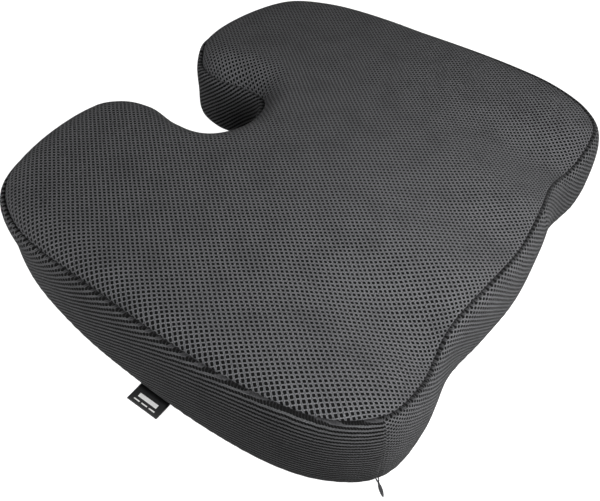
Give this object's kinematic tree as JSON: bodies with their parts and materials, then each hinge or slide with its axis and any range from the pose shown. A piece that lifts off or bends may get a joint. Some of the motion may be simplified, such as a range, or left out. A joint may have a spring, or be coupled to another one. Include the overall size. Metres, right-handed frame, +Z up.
{
  "type": "seat cushion",
  "caption": "Contoured foam seat cushion with a rear tailbone cut-out, thigh channels, a mesh cover and a zipped underside.",
  "frame": {"origin": "middle of the flat underside, on the left-right centre plane", "axes": "+X across the width, -Y to the front edge with the thigh channels, +Y to the rear with the tailbone cut-out, +Z up"},
  "size_m": [0.4588, 0.3768, 0.0834],
  "materials": {
    "cover_top": "matte spacer mesh",
    "cover_band": "matte spacer mesh",
    "cover_base": "matte woven cloth with rubber dots",
    "foam": "matte",
    "thread": "satin thread",
    "tape": "matte woven tape",
    "coil": "satin",
    "zip_metal": "satin enamel",
    "label": "satin weave"
  },
  "bodies": {
    "cushion": {"foam_core": "foam", "top_panel": "cover_top", "band_main": "cover_band", "band_front": "cover_band", "base_panel_main": "cover_base", "base_panel_front": "cover_base", "top_seam_thread": "thread", "base_seam_thread": "thread", "corner_join_thread": "thread", "bump_join_thread": "thread", "zip_topstitch_front": "thread", "zip_topstitch_rear": "thread", "zip_tape_front": "tape", "zip_tape_rear": "tape", "zip_coil_front": "coil", "zip_coil_rear": "coil", "zip_stop_near": "zip_metal", "zip_stop_far": "zip_metal", "side_label": "label"},
    "slider": {"zip_slider": "zip_metal"},
    "pull": {"zip_pull_tab": "zip_metal"}
  },
  "joints": [
    {"name": "zip_slide", "type": "slide", "parent": "cushion", "child": "slider", "axis": [1, 0, 0], "range_m": [0, 0.338]},
    {"name": "pull_swing", "type": "hinge", "parent": "slider", "child": "pull", "pos_m": [-0.168, -0.16, 0.002], "axis": [0.7604, -0.6494, 0], "range_deg": [0, 170]}
  ]
}
